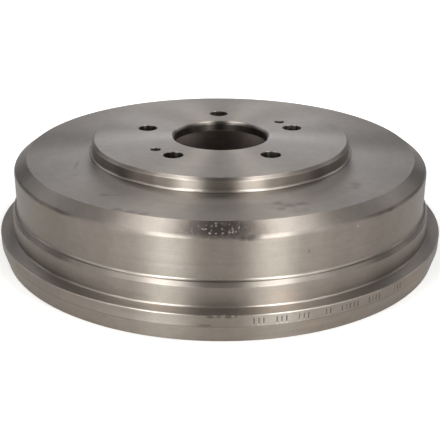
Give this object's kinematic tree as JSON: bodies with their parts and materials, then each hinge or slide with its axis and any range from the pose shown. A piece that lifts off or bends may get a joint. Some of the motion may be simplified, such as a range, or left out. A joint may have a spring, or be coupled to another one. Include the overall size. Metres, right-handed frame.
{
  "type": "brake drum",
  "caption": "Cast iron brake drum with a raised hub pad, pilot bore, wheel stud holes, threaded jacking holes and a flanged open rim that the shoes run inside.",
  "frame": {"origin": "centre of the open rim's plane, on the drum's axis", "axes": "+Z along the drum's axis from the open rim to the wheel face, +Y towards one wheel stud hole"},
  "size_m": [0.342, 0.342, 0.0845],
  "materials": {
    "turned_iron": "bare fine-turned grey iron with a faint warm cast, as-cast specks where a cut didn't clean up"
  },
  "bodies": {
    "root": {"brake_drum": "turned_iron"}
  },
  "joints": []
}
